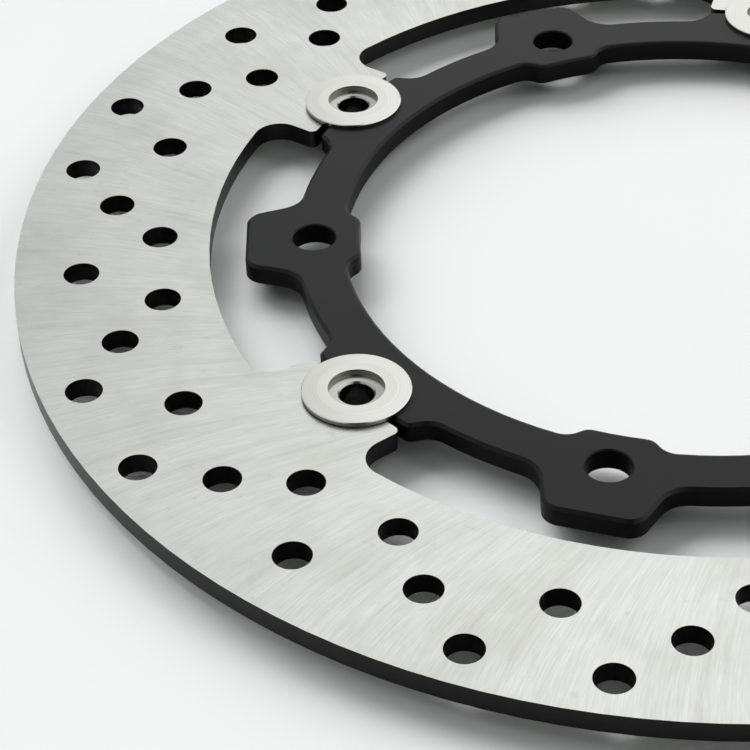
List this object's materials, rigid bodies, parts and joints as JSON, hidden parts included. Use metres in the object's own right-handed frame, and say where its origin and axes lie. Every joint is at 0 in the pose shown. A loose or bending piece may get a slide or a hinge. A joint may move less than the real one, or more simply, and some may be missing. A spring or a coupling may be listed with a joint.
{
  "type": "brake disc rotor",
  "caption": "Floating motorcycle brake disc: drilled steel friction ring held on a black bolt-on carrier by spinning bobbins.",
  "frame": {"origin": "centre of the carrier's hub face, on the disc's axis", "axes": "+Z along the disc's axis to the outer face of the wheel; +X through the middle of one bobbin"},
  "size_m": [0.267, 0.267, 0.0084],
  "materials": {
    "friction_steel": "ground faces, blackened edges",
    "anodised_aluminium": "satin black anodised",
    "bobbin_steel": "turned bright",
    "washer_steel": "tumbled bright",
    "spring_steel": "oiled dark spring steel"
  },
  "bodies": {
    "carrier": {"carrier": "anodised_aluminium"},
    "ring": {"friction_ring": "friction_steel"},
    "bobbin_1": {"bobbin_1": "bobbin_steel", "flat_washer_1": "washer_steel", "wave_washer_1": "spring_steel", "circlip_1": "spring_steel"},
    "bobbin_2": {"bobbin_2": "bobbin_steel", "flat_washer_2": "washer_steel", "wave_washer_2": "spring_steel", "circlip_2": "spring_steel"},
    "bobbin_3": {"bobbin_3": "bobbin_steel", "flat_washer_3": "washer_steel", "wave_washer_3": "spring_steel", "circlip_3": "spring_steel"},
    "bobbin_4": {"bobbin_4": "bobbin_steel", "flat_washer_4": "washer_steel", "wave_washer_4": "spring_steel", "circlip_4": "spring_steel"},
    "bobbin_5": {"bobbin_5": "bobbin_steel", "flat_washer_5": "washer_steel", "wave_washer_5": "spring_steel", "circlip_5": "spring_steel"}
  },
  "joints": [
    {"name": "ring_float", "type": "slide", "parent": "carrier", "child": "ring", "axis": [0, 0, 1], "range_m": [-0.00024, 0.00024]},
    {"name": "bobbin_1_spin", "type": "hinge", "parent": "carrier", "child": "bobbin_1", "pos_m": [0.0828, 0, 0], "axis": [0, 0, 1], "continuous": true},
    {"name": "bobbin_2_spin", "type": "hinge", "parent": "carrier", "child": "bobbin_2", "pos_m": [0.02559, 0.07875, 0], "axis": [0, 0, 1], "continuous": true},
    {"name": "bobbin_3_spin", "type": "hinge", "parent": "carrier", "child": "bobbin_3", "pos_m": [-0.06699, 0.04867, 0], "axis": [0, 0, 1], "continuous": true},
    {"name": "bobbin_4_spin", "type": "hinge", "parent": "carrier", "child": "bobbin_4", "pos_m": [-0.06699, -0.04867, 0], "axis": [0, 0, 1], "continuous": true},
    {"name": "bobbin_5_spin", "type": "hinge", "parent": "carrier", "child": "bobbin_5", "pos_m": [0.02559, -0.07875, 0], "axis": [0, 0, 1], "continuous": true}
  ]
}
